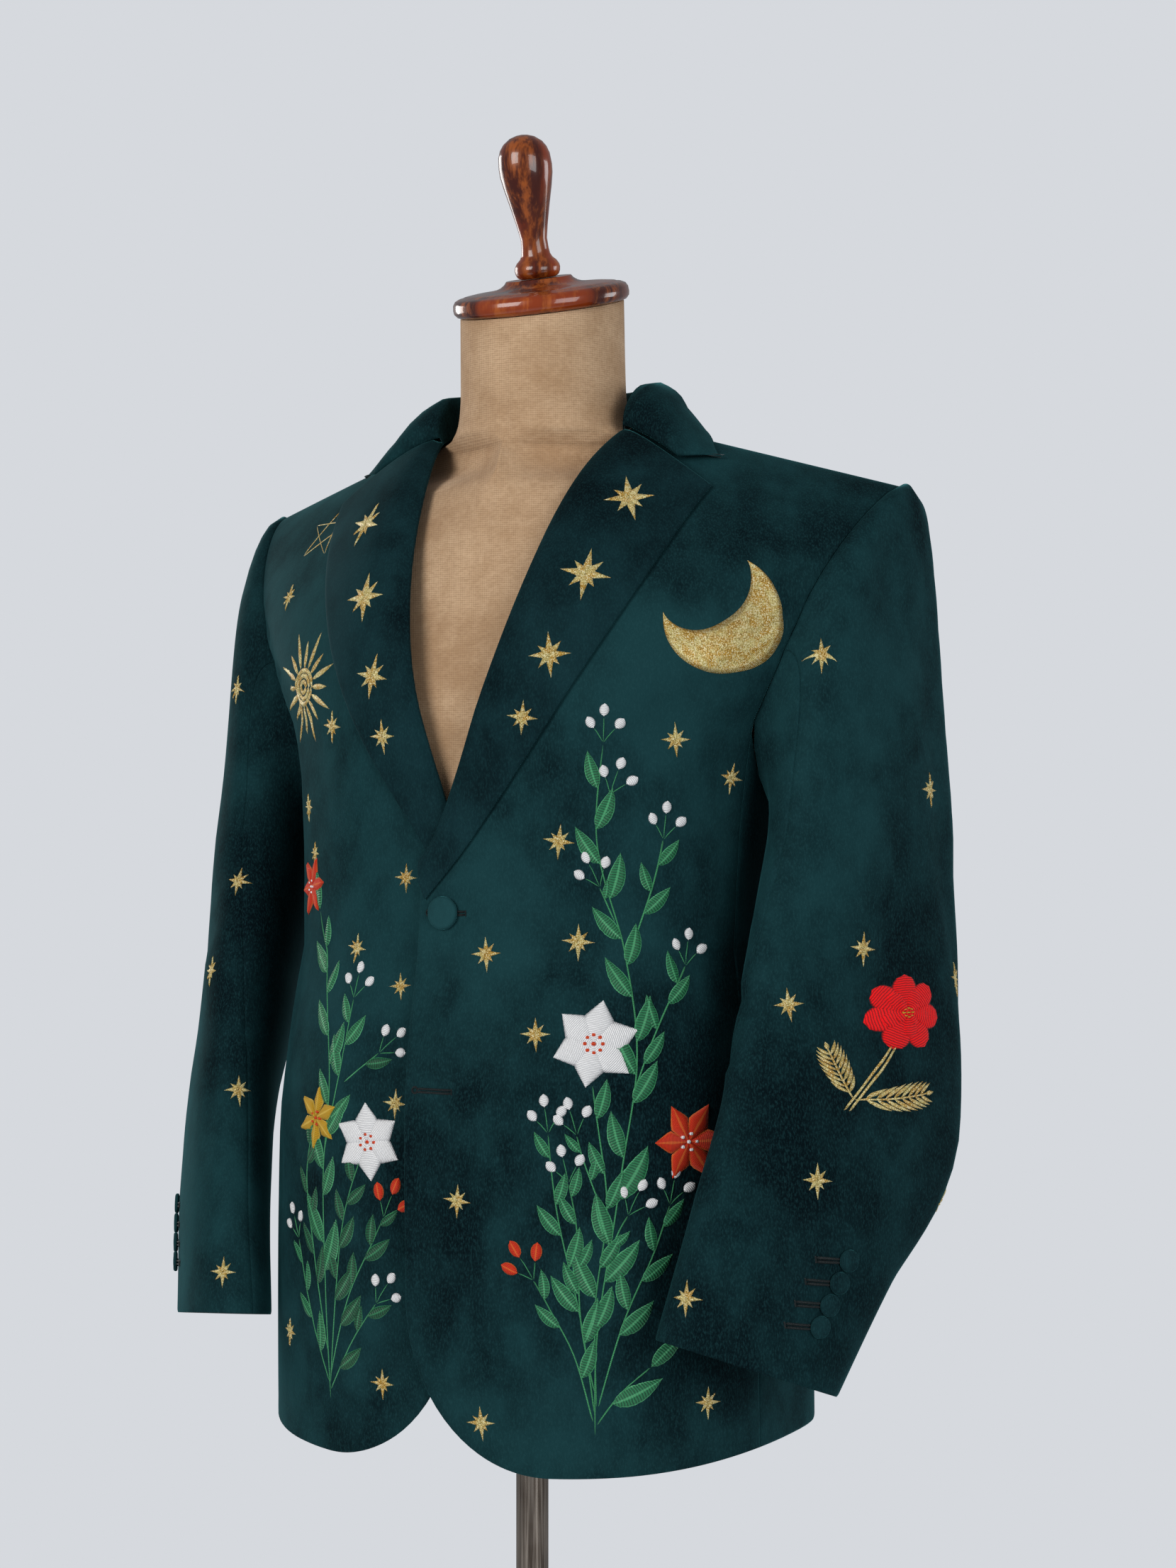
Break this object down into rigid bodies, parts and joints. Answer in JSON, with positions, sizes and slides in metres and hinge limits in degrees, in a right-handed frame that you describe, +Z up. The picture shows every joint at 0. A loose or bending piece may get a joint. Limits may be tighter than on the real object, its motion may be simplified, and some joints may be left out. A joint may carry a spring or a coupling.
{
  "type": "western suit jacket on a dress form",
  "caption": "A man's single-breasted velvet western suit jacket with notch lapels, shown on a limbless dress form with a turned wooden cap and finial, on a steel pole and a round base.",
  "frame": {"origin": "centre of the base's underside, on the floor", "axes": "+Z up, the jacket's front faces -Y, the wearer's left is +X"},
  "size_m": [0.622, 0.38, 1.6904],
  "materials": {
    "velvet": "dark teal-green cotton velvet with a soft sheen",
    "canvas": "beige canvas cover of the dress form",
    "lacquered_wood": "glossy lacquered reddish-brown wood",
    "steel": "dark brushed steel tube",
    "painted_base": "satin black paint"
  },
  "bodies": {
    "root": {"front_left": "velvet", "front_right": "velvet", "side_left": "velvet", "side_right": "velvet", "back_left": "velvet", "back_right": "velvet", "lapel_left": "velvet", "lapel_right": "velvet", "sleeve_top_left": "velvet", "sleeve_top_right": "velvet", "sleeve_under_left": "velvet", "sleeve_under_right": "velvet", "collar": "velvet", "button_front_upper": "velvet", "button_front_lower": "velvet", "button_cuff_left_1": "velvet", "button_cuff_left_2": "velvet", "button_cuff_left_3": "velvet", "button_cuff_left_4": "velvet", "button_cuff_right_1": "velvet", "button_cuff_right_2": "velvet", "button_cuff_right_3": "velvet", "button_cuff_right_4": "velvet", "form_torso": "canvas", "neck_cap": "lacquered_wood", "finial": "lacquered_wood", "pole": "steel", "pole_socket": "steel", "base": "painted_base"}
  },
  "joints": []
}
